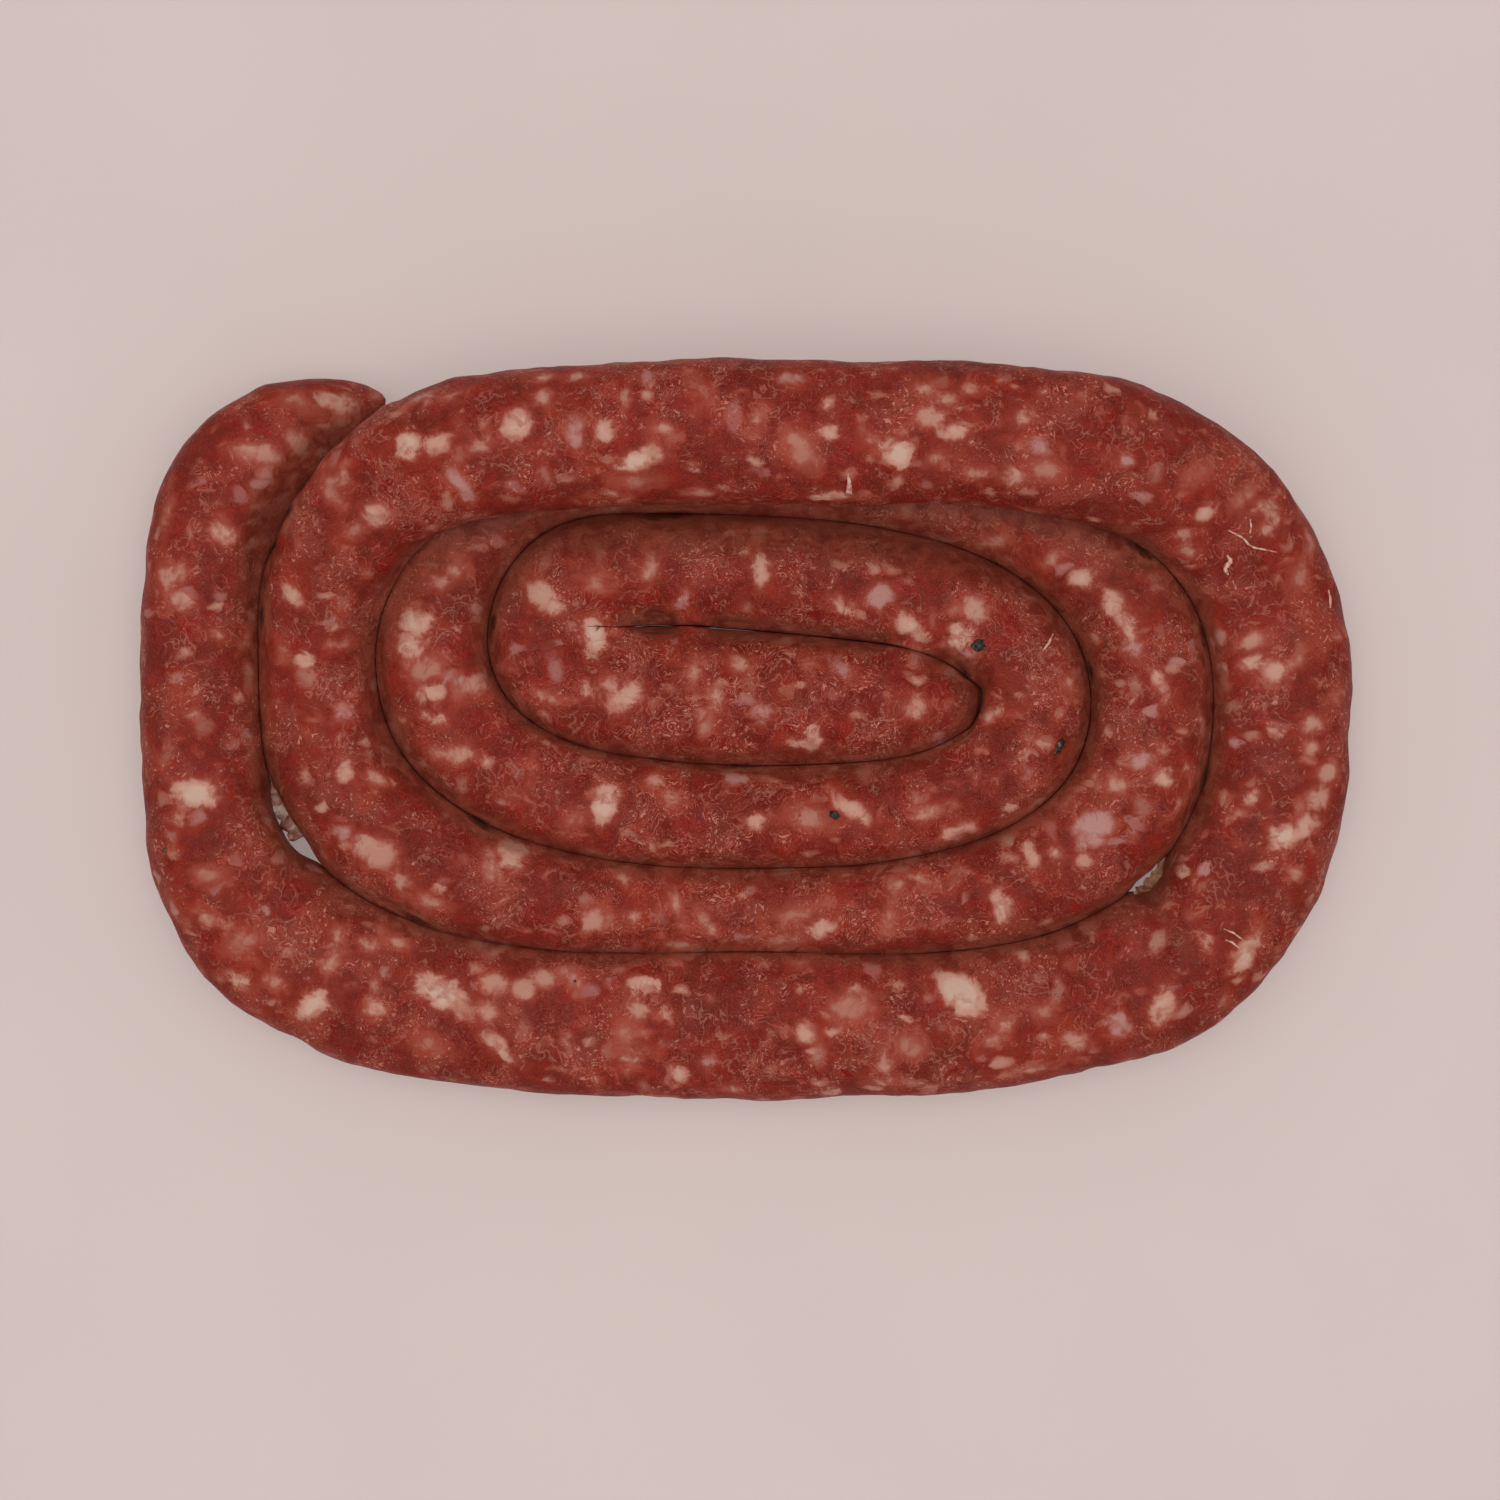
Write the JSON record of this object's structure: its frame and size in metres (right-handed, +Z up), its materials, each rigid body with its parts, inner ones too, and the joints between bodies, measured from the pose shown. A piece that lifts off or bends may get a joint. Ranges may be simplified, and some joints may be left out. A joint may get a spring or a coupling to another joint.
{
  "type": "coiled fresh sausage",
  "caption": "Fresh coarse-ground raw sausage, one unlinked rope coiled flat in an oval spiral, the outer turn lying over the next along the back.",
  "frame": {"origin": "middle of the outline, on the surface the coil rests on", "axes": "+X along the coil's long side, +Y towards the raised back run, +Z up"},
  "size_m": [0.2306, 0.1394, 0.0407],
  "materials": {
    "raw_sausage": "moist satin"
  },
  "bodies": {
    "root": {"sausage_rope": "raw_sausage"}
  },
  "joints": []
}
